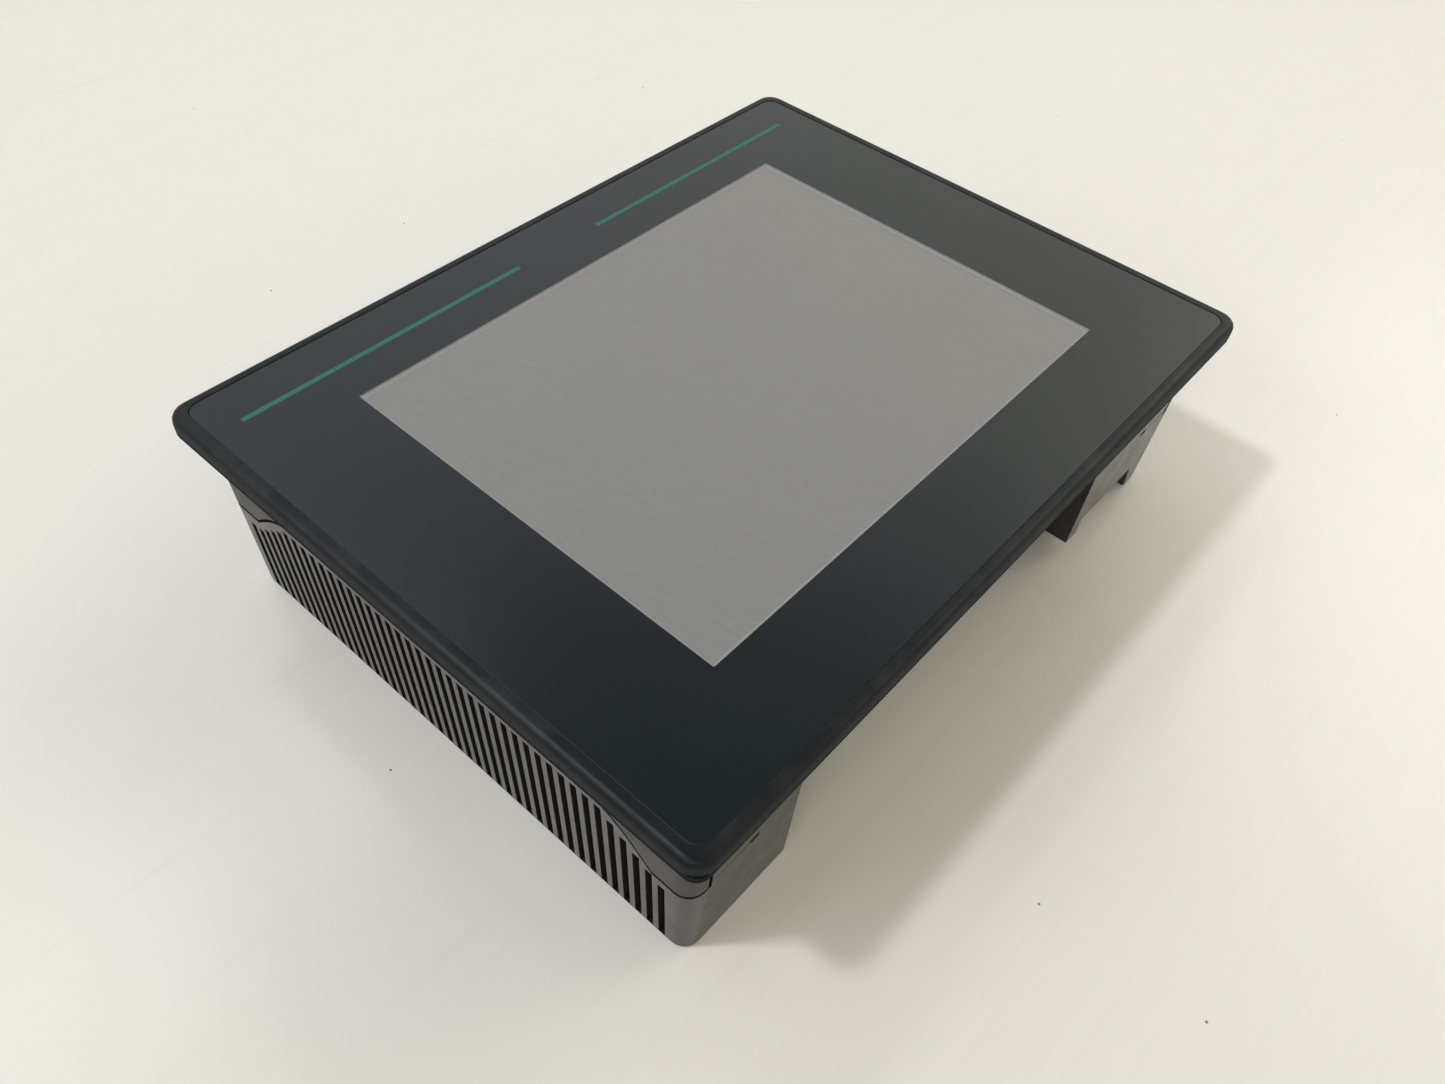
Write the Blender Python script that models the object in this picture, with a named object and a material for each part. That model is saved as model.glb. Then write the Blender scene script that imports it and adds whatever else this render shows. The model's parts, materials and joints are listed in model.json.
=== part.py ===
"""Operator touch panel of the 10.4 inch class: a display behind a printed foil, and a vented housing.

The panel lies on its back. +Z points out of the screen, +X to the right of the picture, +Y to its top.
Z = 0 is the rear face. Shapes are drawn in millimetres and turned into metres when an object is made.
"""

import math

import bmesh
import bpy
from mathutils import Matrix, Vector

MM = 0.001
GAP = 0.3  # between two pieces that touch on the real object

# Front frame and foil
FRONT_Z = 83.5
FLANGE_HALF = (156.5, 119.5)
FLANGE_RADIUS = 7.5
FLANGE_THICKNESS = 5.8
RIM_ROUNDING = 2.8
FOIL_HALF = (151.2, 114.8)
FOIL_RADIUS = 4.9
FOIL_THICKNESS = 0.5
FOIL_TOP = FRONT_Z - 0.2
WINDOW_HALF = (107.0, 80.25)
FLANGE_Z = FRONT_Z - FLANGE_THICKNESS
FOIL_BOTTOM = FOIL_TOP - FOIL_THICKNESS
RECESS_Z = FOIL_BOTTOM - GAP

# Tapered housing body, drawn by its size at the rear face
REAR_HALF = (146.75, 109.65)
DRAFT = 0.0344
BODY_RADIUS = 6.1
COLLAR_WALL = 3.0
REAR_WALL = 3.6
LIP_WALL = 1.5
REAR_PLATE = 3.0
REAR_CHAMFER = 0.7
CORNER_STEPS = 5

# Parting line between the frame's collar and the rear housing
PARTING_Z = 56.7
PARTING_GROOVE = 1.5
TONGUE_Z = {1: 43.3, -1: 40.4}  # tip height of the corner tongues at the top and bottom of the panel
TONGUE_START_Y = {1: 93.9, -1: 96.0}
TONGUE_RAMP = 24.5
TONGUE_INNER_X = 140.6
LIP_LOW_Z = 33.3
LIP_HIGH_Z = 59.5

# Ventilation slots in the left and right walls
SLOT_COUNT = 41
SLOT_PITCH = 4.982
SLOT_WIDTH = 2.75
SLOT_TOP_Z = 52.3
SLOT_BOTTOM_Z = 0.9
SLOT_LOWEST_TOP = {1: 36.8, -1: 35.4}
SLOT_RAMP_START_Y = {1: 95.5, -1: 98.8}
SLOT_RAMP_SLOPE = 0.71
SLOT_INNER_X = 140.75

# Connector bay, and the raised rear edge of the block to its right with a notch between two feet
BAY_X = (-99.4, 78.5)
BAY_SIDE_DRAFT = 0.055
BAY_BACK_Y = -64.0
BAY_TOP_Z = 47.6
BAY_WALL = 3.0
INNER_FOOT_Z = 6.0
INNER_FOOT_RIGHT = 88.8
NOTCH_LEFT_TOP = 88.0
NOTCH_RIGHT_TOP = 128.8
NOTCH_TOP_Z = 14.8
OUTER_FOOT_LEFT = 134.2
NOTCH_BACK_Y = -95.0
NOTCH_WALL = 3.0
CLAMP_POCKET_X = 120.5
CLAMP_POCKET_Z = 41.5
CLAMP_POCKET = (4.2, 2.6, 2.2)  # width, depth and height
SCRIBED_LINE = 0.4

# Panel gasket
GASKET_HALF = (156.0, 119.0)
GASKET_RADIUS = 5.0
GASKET_THICKNESS = 2.7

# Display stack, from the touch glass to the bracket
OPENING_HALF = (122.3, 93.3)
TOUCH_GLASS_HALF = (121.8, 92.8)
TOUCH_GLASS_THICKNESS = 1.8
TOUCH_GASKET_THICKNESS = 0.5
DISPLAY_HALF = (121.5, 92.5)
DISPLAY_SHEET = 0.5
DISPLAY_OPENING_HALF = (107.9, 81.1)
DISPLAY_SKIRT_Z = 69.7
LCD_HALF = (113.0, 86.5)
LCD_THICKNESS = 1.6
DIFFUSER_THICKNESS = 1.0
LIGHT_GUIDE_HALF = (110.0, 82.0)
LIGHT_GUIDE_Z = (69.2, 75.6)
LAMP_RADIUS = 1.3
LAMP_LENGTH = 216.0
LAMP_Y = 86.4
LAMP_Z = 72.6
TRAY_HALF = (120.0, 91.0)
TRAY_Z = (67.9, 75.1)
BRACKET_HALF = (127.0, 102.0)
BRACKET_Z = (66.1, 67.6)
BRACKET_LIP = 8.0
BRACKET_SCREW = (120.0, 98.0)
INVERTER_Z = 55.0
INVERTER_POST = (54.0, 67.0)

# Main board and what stands on it
BOARD_THICKNESS = 1.6
BOARD_Z = 22.0
BOARD_X = 112.0
BOARD_Y = (-59.5, 92.0)
BOARD_SCREW_X = 106.0
BOARD_SCREW_Y = (-50.0, 84.0)
BOARD_TOP = BOARD_Z + BOARD_THICKNESS
PART_Z = BOARD_TOP + GAP

# Screws that hold the halves together
HOUSING_SCREW_X = 133.5
HOUSING_SCREW_Y = (-82.0, 97.0)
HOUSING_SCREW_SEAT_Z = 42.0
HOUSING_BOSS_Z = 48.0

# Moving pieces behind the bay wall
LEVER_TRAVEL = 3.0
BUTTON_TRAVEL = 1.2
CARD_TRAVEL = 6.0
CARD = (42.8, 36.4, 3.3)
CARD_X = 40.0
CARD_Z = 25.6
CARD_OUTER_Y = -66.0
EJECT_X = 68.0
RESET_X = 12.0
RESET_Z = 27.0
SERIAL_X = -24.0
SERIAL_Z = 30.5
GROUND_X = -91.5
GROUND_Z = 30.0


# --- drawing helpers, all in millimetres ---


def rounded_outline(half, radius, steps=CORNER_STEPS):
    """Points of a rectangle with round corners, counter-clockwise."""
    points = []
    for quarter, (side_x, side_y) in enumerate(((1, 1), (-1, 1), (-1, -1), (1, -1))):
        centre = (side_x * (half[0] - radius), side_y * (half[1] - radius))
        for step in range(steps + 1):
            angle = math.pi / 2 * (quarter + step / steps)
            points.append((centre[0] + radius * math.cos(angle), centre[1] + radius * math.sin(angle)))
    return points


def circle_outline(centre, radius, steps=16):
    """Points of a circle, counter-clockwise."""
    angles = [2 * math.pi * step / steps for step in range(steps)]
    return [(centre[0] + radius * math.cos(a), centre[1] + radius * math.sin(a)) for a in angles]


def loft(sections):
    """A closed solid through outlines of equal point count, each given with its height."""
    bm = bmesh.new()
    rings = [[bm.verts.new((x, y, z)) for x, y in points] for points, z in sections]
    count = len(rings[0])
    for low, high in zip(rings, rings[1:]):
        for i in range(count):
            j = (i + 1) % count
            bm.faces.new((low[i], low[j], high[j], high[i]))
    bm.faces.new(reversed(rings[0]))
    bm.faces.new(rings[-1])
    bmesh.ops.recalc_face_normals(bm, faces=bm.faces)
    return bm


def extrude(points, low, high):
    """A prism over an outline, standing between two heights."""
    return loft([(points, low), (points, high)])


def plate(half, radius, low, high, centre=(0.0, 0.0)):
    """A flat plate with round corners."""
    outline = [(x + centre[0], y + centre[1]) for x, y in rounded_outline(half, radius)]
    return extrude(outline, low, high)


def box(low, high):
    """A box between two corners."""
    outline = [(low[0], low[1]), (high[0], low[1]), (high[0], high[1]), (low[0], high[1])]
    return extrude(outline, low[2], high[2])


def along_y(bm):
    """Turn a solid drawn along +Z so that it runs along +Y, with its own y as height."""
    turn = Matrix(((1, 0, 0), (0, 0, 1), (0, 1, 0)))
    return turned(bm, turn)


def along_x(bm):
    """Turn a solid drawn along +Z so that it runs along +X, with its own x, y as y, z."""
    turn = Matrix(((0, 0, 1), (1, 0, 0), (0, 1, 0)))
    return turned(bm, turn)


def turned(bm, matrix):
    """Apply a matrix to a solid and make its faces point out again."""
    bmesh.ops.transform(bm, matrix=matrix.to_4x4(), verts=bm.verts)
    bmesh.ops.recalc_face_normals(bm, faces=bm.faces)
    return bm


def rod_y(x, z, radius, low, high, steps=16):
    """A round or many-sided rod along Y."""
    return along_y(extrude(circle_outline((x, z), radius, steps), low, high))


def rod_z(x, y, radius, low, high, steps=16):
    """A round rod along Z."""
    return extrude(circle_outline((x, y), radius, steps), low, high)


def temporary_object(bm):
    """Put a bmesh into the scene for a Boolean."""
    mesh = bpy.data.meshes.new("temporary")
    bm.to_mesh(mesh)
    bm.free()
    held = bpy.data.objects.new("temporary", mesh)
    bpy.context.scene.collection.objects.link(held)
    return held


def combine(base, tool, operation):
    """Cut, join or intersect two solids with the exact Boolean."""
    first = temporary_object(base)
    second = temporary_object(tool)
    modifier = first.modifiers.new("combine", "BOOLEAN")
    modifier.operation = operation
    modifier.solver = "EXACT"
    modifier.object = second
    result = bmesh.new()
    result.from_object(first, bpy.context.evaluated_depsgraph_get())
    for held in (first, second):
        mesh = held.data
        bpy.data.objects.remove(held)
        bpy.data.meshes.remove(mesh)
    return result


def cut(base, *tools):
    """Take every tool away from a solid."""
    for tool in tools:
        base = combine(base, tool, "DIFFERENCE")
    return base


def join(base, *tools):
    """Add every tool to a solid."""
    for tool in tools:
        base = combine(base, tool, "UNION")
    return base


def gathered(solids):
    """Separate solids in one mesh, for use as a single cutter."""
    result = bmesh.new()
    for solid in solids:
        mesh = bpy.data.meshes.new("gathered")
        solid.to_mesh(mesh)
        solid.free()
        result.from_mesh(mesh)
        bpy.data.meshes.remove(mesh)
    return result


def material(name, colour, roughness, metallic=0.0):
    """One Principled material."""
    made = bpy.data.materials.new(name)
    made.use_nodes = True
    shader = made.node_tree.nodes["Principled BSDF"]
    shader.inputs["Base Color"].default_value = (*colour, 1.0)
    shader.inputs["Roughness"].default_value = roughness
    shader.inputs["Metallic"].default_value = metallic
    made.diffuse_color = (*colour, 1.0)
    return made


def add_object(name, bm, colours, origin=(0.0, 0.0, 0.0)):
    """Name a finished solid, scale it to metres and put its origin at a point."""
    bmesh.ops.translate(bm, vec=-Vector(origin), verts=bm.verts)
    bmesh.ops.scale(bm, vec=(MM, MM, MM), verts=bm.verts)
    bmesh.ops.triangulate(bm, faces=[f for f in bm.faces if len(f.verts) > 4])
    mesh = bpy.data.meshes.new(name)
    bm.to_mesh(mesh)
    bm.free()
    mesh.shade_smooth()
    mesh.set_sharp_from_angle(angle=math.radians(30))
    mesh.materials.append(material(name, *colours))
    made = bpy.data.objects.new(name, mesh)
    made.location = Vector(origin) * MM
    bpy.context.scene.collection.objects.link(made)
    return made


# Colour, roughness and metallic value of each kind of surface
BEZEL_PLASTIC = ((0.035, 0.040, 0.045), 0.45)
FOIL_PRINT = ((0.022, 0.027, 0.032), 0.55)
HOUSING_PLASTIC = ((0.070, 0.068, 0.064), 0.50)
CLEAR = ((0.30, 0.31, 0.32), 0.35)
DISPLAY_GREY = ((0.20, 0.21, 0.22), 0.25)
WHITE_PLASTIC = ((0.75, 0.75, 0.73), 0.50)
LIGHT_FOAM = ((0.45, 0.46, 0.46), 0.80)
BLACK_RUBBER = ((0.030, 0.030, 0.030), 0.80)
STEEL = ((0.55, 0.55, 0.56), 0.35, 1.0)
ALUMINIUM = ((0.65, 0.66, 0.67), 0.40, 1.0)
BOARD_GREEN = ((0.02, 0.14, 0.06), 0.45)
CHIP_BLACK = ((0.02, 0.02, 0.02), 0.50)
SOCKET_GREEN = ((0.03, 0.22, 0.10), 0.50)
BUTTON_GREY = ((0.35, 0.36, 0.36), 0.45)
CABLE_GREY = ((0.40, 0.40, 0.42), 0.55)
LAMP_WHITE = ((0.85, 0.85, 0.82), 0.20)


# --- shapes shared by the two halves of the body ---


def body_outline(z, offset=0.0):
    """The housing's outline at a height, moved inwards by an offset."""
    half = [REAR_HALF[i] + z * DRAFT - offset for i in (0, 1)]
    return rounded_outline(half, BODY_RADIUS - min(offset, BODY_RADIUS - 1.0))


def body_solid(low, high, offset=0.0):
    """The tapered body between two heights."""
    return loft([(body_outline(low, offset), low), (body_outline(high, offset), high)])


def parting_height(y):
    """Height of the parting line on the left and right walls."""
    side = 1 if y > 0 else -1
    along = min(max((TONGUE_START_Y[side] - abs(y)) / TONGUE_RAMP, 0.0), 1.0)
    return TONGUE_Z[side] + (PARTING_Z - TONGUE_Z[side]) * math.sin(along * math.pi / 2)


def frame_region(gap):
    """Everything that belongs to the front frame: a slab above the parting line and four corner tongues."""
    far = 170.0
    top = 95.0
    region = box((-far, -far, PARTING_Z - gap), (far, far, top))
    for side_y in (1, -1):
        ramp = [TONGUE_START_Y[side_y] - TONGUE_RAMP * step / 6 for step in range(7)]
        points = [(side_y * y, parting_height(side_y * y) - gap) for y in ramp]
        points += [(side_y * (ramp[-1] - gap), PARTING_Z + 1.0), (side_y * (ramp[-1] - gap), top - 1.0)]
        points += [(side_y * (far - 1.0), top - 1.0), (side_y * (far - 1.0), TONGUE_Z[side_y] - gap)]
        for side_x in (1, -1):
            limits = sorted((side_x * (TONGUE_INNER_X - gap), side_x * (far - 1.0)))
            region = join(region, along_x(extrude(points, *limits)))
    return region


def screw(x, y, head_radius, head, shank_radius, shank):
    """A screw along Z: a head with a slot and a plain shank, each given by its two heights."""
    low, high = head
    end = low if shank[1] >= high else high
    body = join(rod_z(x, y, head_radius, low, high), rod_z(x, y, shank_radius, *shank, steps=12))
    slot_depth = 0.35 * (high - low)
    slot_low, slot_high = sorted((end - slot_depth, end + slot_depth))
    slot = box((x - head_radius, y - 0.4, slot_low), (x + head_radius, y + 0.4, slot_high))
    return cut(body, slot)


# --- front frame, foil and gasket ---


def make_front_frame():
    """Bezel flange with a rounded rim and a recess, and the collar with its tongues and posts."""
    sections = [(rounded_outline(FLANGE_HALF, FLANGE_RADIUS), FLANGE_Z)]
    for step in range(6):
        angle = math.pi / 2 * step / 5
        inset = RIM_ROUNDING * (1 - math.cos(angle))
        half = [side - inset for side in FLANGE_HALF]
        height = FRONT_Z - RIM_ROUNDING * (1 - math.sin(angle))
        sections.append((rounded_outline(half, FLANGE_RADIUS - inset), height))
    flange = loft(sections)
    recess_half = [side + GAP for side in FOIL_HALF]
    recess = plate(recess_half, FOIL_RADIUS + GAP, RECESS_Z, FRONT_Z + 1.0)
    flange = cut(flange, recess, plate(OPENING_HALF, 1.0, FLANGE_Z - 1.0, FRONT_Z))
    tail_relief = box((28.0, -97.0, FLANGE_Z - 1.0), (52.0, -92.0, RECESS_Z + 0.1))
    flange = cut(flange, tail_relief)
    collar = body_solid(min(TONGUE_Z.values()) - 1.0, FLANGE_Z + 1.0)
    collar = cut(collar, body_solid(min(TONGUE_Z.values()) - 2.0, FLANGE_Z + 2.0, COLLAR_WALL))
    collar = combine(collar, frame_region(0.0), "INTERSECT")
    frame = join(flange, collar)
    for x in (-HOUSING_SCREW_X, HOUSING_SCREW_X):
        for y in HOUSING_SCREW_Y:
            post = rod_z(x, y, 4.5, HOUSING_BOSS_Z + GAP, FLANGE_Z + 1.0)
            hole = rod_z(x, y, 1.8, HOUSING_BOSS_Z - 1.0, HOUSING_BOSS_Z + 12.0, steps=12)
            frame = cut(join(frame, post), hole)
    for x in (-BRACKET_SCREW[0], BRACKET_SCREW[0]):
        for y in (-BRACKET_SCREW[1], BRACKET_SCREW[1]):
            boss = rod_z(x, y, 4.0, BRACKET_Z[1] + GAP, FLANGE_Z + 1.0)
            hole = rod_z(x, y, 1.5, BRACKET_Z[1] - 1.0, BRACKET_Z[1] + 8.0, steps=12)
            frame = cut(join(frame, boss), hole)
    return add_object("front_frame", frame, BEZEL_PLASTIC)


def make_front_foil():
    """Printed foil with its window cut out."""
    foil = plate(FOIL_HALF, FOIL_RADIUS, FOIL_BOTTOM, FOIL_TOP)
    foil = cut(foil, plate(WINDOW_HALF, 0.5, FOIL_BOTTOM - 1.0, FOIL_TOP + 1.0))
    return add_object("front_foil", foil, FOIL_PRINT)


def make_window_film():
    """Clear film that fills the foil's window."""
    half = [side - GAP for side in WINDOW_HALF]
    return add_object("window_film", plate(half, 0.3, FOIL_BOTTOM, FOIL_TOP), CLEAR)


def make_panel_gasket():
    """Flat sealing ring behind the flange."""
    top = FLANGE_Z - GAP
    ring = plate(GASKET_HALF, GASKET_RADIUS, top - GASKET_THICKNESS, top)
    hole = loft([(body_outline(z, -0.4), z) for z in (top - GASKET_THICKNESS - 1.0, top + 1.0)])
    return add_object("panel_gasket", cut(ring, hole), BLACK_RUBBER)


# --- display ---


def make_touch_panel():
    """Touch glass and the light foam frame under it."""
    top = RECESS_Z
    bottom = top - TOUCH_GLASS_THICKNESS
    add_object("touch_glass", plate(TOUCH_GLASS_HALF, 0.8, bottom, top), CLEAR)
    high = bottom - GAP
    low = high - TOUCH_GASKET_THICKNESS
    ring = plate(DISPLAY_HALF, 0.8, low, high)
    inner = [side + GAP for side in WINDOW_HALF]
    ring = cut(ring, plate(inner, 0.5, low - 1.0, high + 1.0))
    add_object("touch_gasket", ring, LIGHT_FOAM)
    return low - GAP


def make_display(top):
    """Display module: metal frame, glass, diffuser, light guide, lamps with reflectors, and the tray."""
    shell = plate(DISPLAY_HALF, 1.0, DISPLAY_SKIRT_Z, top)
    inner = [side - DISPLAY_SHEET for side in DISPLAY_HALF]
    shell = cut(shell, plate(inner, 0.6, DISPLAY_SKIRT_Z - 1.0, top - DISPLAY_SHEET))
    shell = cut(shell, plate(DISPLAY_OPENING_HALF, 0.5, top - 2.0, top + 1.0))
    add_object("lcd_front_frame", shell, STEEL)
    glass_top = top - DISPLAY_SHEET - GAP
    glass_bottom = glass_top - LCD_THICKNESS
    add_object("lcd_glass", plate(LCD_HALF, 0.3, glass_bottom, glass_top), DISPLAY_GREY)
    sheet_top = glass_bottom - GAP
    add_object("diffuser_sheet", plate(LCD_HALF, 0.3, LIGHT_GUIDE_Z[1] + GAP, sheet_top), WHITE_PLASTIC)
    add_object("light_guide", plate(LIGHT_GUIDE_HALF, 0.3, *LIGHT_GUIDE_Z), CLEAR)
    for side, place in ((1, "top"), (-1, "bottom")):
        round_section = circle_outline((side * LAMP_Y, LAMP_Z), LAMP_RADIUS, 12)
        lamp = extrude(round_section, -LAMP_LENGTH / 2, LAMP_LENGTH / 2)
        add_object("lamp_" + place, along_x(lamp), LAMP_WHITE)
        reach = (LAMP_Y - 2.6, LAMP_Y + 2.8)
        low, high = sorted(side * y for y in reach)
        channel = box((-110.0, low, LAMP_Z - 2.6), (110.0, high, LAMP_Z + 2.6))
        low, high = sorted((side * (reach[0] - 1.0), side * (reach[1] - 0.6)))
        channel = cut(channel, box((-112.0, low, LAMP_Z - 2.0), (112.0, high, LAMP_Z + 2.0)))
        add_object("lamp_reflector_" + place, channel, ALUMINIUM)
    tray = plate(TRAY_HALF, 1.0, *TRAY_Z)
    tray = cut(tray, plate([side - 0.8 for side in TRAY_HALF], 0.6, TRAY_Z[0] + 1.0, TRAY_Z[1] + 1.0))
    add_object("lcd_rear_frame", tray, STEEL)


def make_bracket():
    """Steel plate that carries the display, with stiffening lips, openings and inverter posts."""
    bracket = plate(BRACKET_HALF, 3.0, *BRACKET_Z)
    lip = BRACKET_Z[1] - BRACKET_Z[0]
    for side in (1, -1):
        low, high = sorted((side * (BRACKET_HALF[0] - lip), side * BRACKET_HALF[0]))
        stiffener = box((low, -60.0, BRACKET_Z[0] - BRACKET_LIP), (high, 60.0, BRACKET_Z[1] - 0.2))
        bracket = join(bracket, stiffener)
        post_end = INVERTER_Z + BOARD_THICKNESS + GAP
        post = rod_z(side * INVERTER_POST[0], INVERTER_POST[1], 3.0, post_end, BRACKET_Z[1] - 0.2)
        bracket = join(bracket, post)
    low_z = BRACKET_Z[0] - 1.0
    high_z = BRACKET_Z[1] + 1.0
    for x in (-75.0, 0.0, 75.0):
        for y in (-48.0, 12.0):
            bracket = cut(bracket, plate((28.0, 20.0), 4.0, low_z, high_z, (x, y)))
    for x in (-BRACKET_SCREW[0], BRACKET_SCREW[0]):
        for y in (-BRACKET_SCREW[1], BRACKET_SCREW[1]):
            bracket = cut(bracket, rod_z(x, y, 1.6, low_z, high_z, steps=12))
    bracket = cut(bracket, box((46.0, 44.0, low_z), (74.0, 52.0, high_z)))
    bracket = cut(bracket, box((30.0, -97.5, low_z), (50.0, -90.0, high_z)))
    bracket = cut(bracket, box((121.0, 64.0, low_z), (125.0, 76.0, high_z)))
    add_object("display_bracket", bracket, STEEL)
    number = 0
    for x in (-BRACKET_SCREW[0], BRACKET_SCREW[0]):
        for y in (-BRACKET_SCREW[1], BRACKET_SCREW[1]):
            number += 1
            head = (BRACKET_Z[0] - GAP - 2.0, BRACKET_Z[0] - GAP)
            shank = (head[1] - 0.5, BRACKET_Z[1] + 7.5)
            add_object(f"bracket_screw_{number}", screw(x, y, 2.8, head, 1.2, shank), STEEL)


def make_inverter():
    """Lamp supply: a long board below the bracket with its transformer on top."""
    board = box((-60.0, 62.0, INVERTER_Z), (60.0, 92.0, INVERTER_Z + BOARD_THICKNESS))
    add_object("inverter_board", board, BOARD_GREEN)
    low = INVERTER_Z + BOARD_THICKNESS + GAP
    core = box((-16.0, 68.0, low), (16.0, 86.0, low + 3.0))
    core = join(core, box((-11.0, 70.0, low + 2.0), (11.0, 84.0, low + 7.5)))
    add_object("inverter_transformer", core, CHIP_BLACK)


# --- main board ---


def make_main_board():
    """Main board with its four screws."""
    board = box((-BOARD_X, BOARD_Y[0], BOARD_Z), (BOARD_X, BOARD_Y[1], BOARD_TOP))
    number = 0
    for x in (-BOARD_SCREW_X, BOARD_SCREW_X):
        for y in BOARD_SCREW_Y:
            number += 1
            board = cut(board, rod_z(x, y, 1.6, BOARD_Z - 1.0, BOARD_TOP + 1.0, steps=12))
            head = (BOARD_TOP + GAP, BOARD_TOP + GAP + 1.8)
            shank = (BOARD_Z - 12.0, head[0] + 0.5)
            add_object(f"board_screw_{number}", screw(x, y, 2.8, head, 1.2, shank), STEEL)
    add_object("main_board", board, BOARD_GREEN)


def make_board_parts():
    """Processor with its finned sink, memory chips, inductor, capacitors, and the battery in its holder."""
    add_object("processor", box((-36.0, 14.0, PART_Z), (-4.0, 46.0, PART_Z + 2.2)), CHIP_BLACK)
    base = PART_Z + 2.2 + GAP
    outline = [(-39.0, base), (-1.0, base)]
    fins = 8
    pitch = 38.0 / (fins - 0.5)
    for fin in range(fins):
        right = -1.0 - fin * pitch
        left = right - pitch / 2
        outline += [(right, base + 14.0), (left, base + 14.0)]
        if fin < fins - 1:
            outline += [(left, base + 3.0), (right - pitch, base + 3.0)]
    add_object("heat_sink", along_y(extrude(outline, 11.0, 49.0)), ALUMINIUM)
    for number, y in enumerate((18.0, 36.0), start=1):
        chip = box((16.0, y - 5.0, PART_Z), (36.0, y + 5.0, PART_Z + 1.2))
        add_object(f"memory_chip_{number}", chip, CHIP_BLACK)
    drum = [(7.0, 0.0), (7.0, 1.6), (5.2, 2.4), (5.2, 6.0), (7.0, 6.8), (7.0, 8.4)]
    sections = [(circle_outline((-70.0, -36.0), radius), PART_Z + height) for radius, height in drum]
    add_object("power_inductor", loft(sections), CHIP_BLACK)
    can = [(5.0, 0.0), (5.0, 1.6), (4.5, 2.2), (5.0, 2.8), (5.0, 15.4), (4.5, 16.0)]
    for number, x in enumerate((-92.0, -80.0), start=1):
        sections = [(circle_outline((x, -18.0), radius), PART_Z + height) for radius, height in can]
        add_object(f"power_capacitor_{number}", loft(sections), ALUMINIUM)
    place = (86.0, 40.0)
    holder = rod_z(*place, 12.5, PART_Z, PART_Z + 4.4, steps=24)
    holder = cut(holder, rod_z(*place, 10.4, PART_Z + 1.2, PART_Z + 6.0, steps=24))
    add_object("battery_holder", holder, CHIP_BLACK)
    add_object("backup_battery", rod_z(*place, 10.0, PART_Z + 1.5, PART_Z + 4.6, steps=24), STEEL)


# --- connectors and controls in the bay ---


def make_power_socket():
    """Three-pole shrouded header."""
    low_z = PART_Z
    block = box((-83.5, -68.0, low_z), (-66.5, -50.0, low_z + 12.0))
    for pole in range(3):
        x = -80.1 + 5.08 * pole
        block = cut(block, box((x - 2.1, -69.0, low_z + 1.6), (x + 2.1, -58.0, low_z + 10.4)))
        block = join(block, box((x - 0.5, -66.5, low_z + 5.5), (x + 0.5, -57.0, low_z + 6.5)))
    add_object("power_socket", block, SOCKET_GREEN)


def make_network_socket():
    """Eight-way network jack in its shield, with a stepped mouth."""
    block = box((-61.0, -66.5, PART_Z), (-45.0, -50.0, PART_Z + 13.5))
    block = cut(block, box((-58.9, -68.0, PART_Z + 2.6), (-47.1, -55.0, PART_Z + 10.4)))
    block = cut(block, box((-56.2, -68.0, PART_Z + 1.2), (-49.8, -55.0, PART_Z + 4.0)))
    tongue = box((-57.0, -64.0, PART_Z + 9.4), (-49.0, -54.0, PART_Z + 10.8))
    add_object("network_socket", join(block, tongue), STEEL)


def d_outline(half_wide, half_narrow, half_high, radius=1.8):
    """A D-shaped outline with the wide side up, its corners cut back."""
    cut_back = radius
    return [
        (half_wide, half_high - cut_back),
        (half_wide - cut_back, half_high),
        (-half_wide + cut_back, half_high),
        (-half_wide, half_high - cut_back),
        (-half_narrow, -half_high + cut_back),
        (-half_narrow + cut_back, -half_high),
        (half_narrow - cut_back, -half_high),
        (half_narrow, -half_high + cut_back),
    ]


def moved(points, x, z):
    """An outline moved to a place on the bay wall."""
    return [(px + x, pz + z) for px, pz in points]


def make_serial_port():
    """Nine-pin serial port: flange, D-shaped shell with pins, a body behind the wall, and two jack screws."""
    wall = BAY_BACK_Y
    face = wall - GAP
    flange = box((SERIAL_X - 15.4, face - 1.0, SERIAL_Z - 6.2), (SERIAL_X + 15.4, face, SERIAL_Z + 6.2))
    shell = along_y(extrude(moved(d_outline(8.6, 7.9, 4.3), SERIAL_X, SERIAL_Z), wall - 7.2, face - 0.5))
    port = join(flange, shell)
    mouth = along_y(extrude(moved(d_outline(8.0, 7.3, 3.7), SERIAL_X, SERIAL_Z), wall - 8.0, wall - 1.6))
    port = cut(port, mouth)
    body = box((SERIAL_X - 9.4, face - 0.5, SERIAL_Z - 5.2), (SERIAL_X + 9.4, wall + 12.0, SERIAL_Z + 5.2))
    port = join(port, body)
    for row, count in ((1, 5), (-1, 4)):
        for pin in range(count):
            x = SERIAL_X + 2.77 * (pin - (count - 1) / 2)
            z = SERIAL_Z + row * 1.42
            port = join(port, box((x - 0.5, wall - 6.0, z - 0.5), (x + 0.5, wall - 1.0, z + 0.5)))
    for side in (1, -1):
        port = cut(port, rod_y(SERIAL_X + side * 12.5, SERIAL_Z, 1.8, wall - 2.0, wall + 1.0, steps=12))
    add_object("serial_port", port, STEEL)
    for number, side in enumerate((-1, 1), start=1):
        x = SERIAL_X + side * 12.5
        post = rod_y(x, SERIAL_Z, 2.7, wall - 7.0, wall - 1.6, steps=6)
        post = join(post, rod_y(x, SERIAL_Z, 1.4, wall - 2.0, wall + 6.0, steps=12))
        post = cut(post, rod_y(x, SERIAL_Z, 1.2, wall - 8.0, wall - 3.0, steps=12))
        add_object(f"serial_jackscrew_{number}", post, STEEL)


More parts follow.
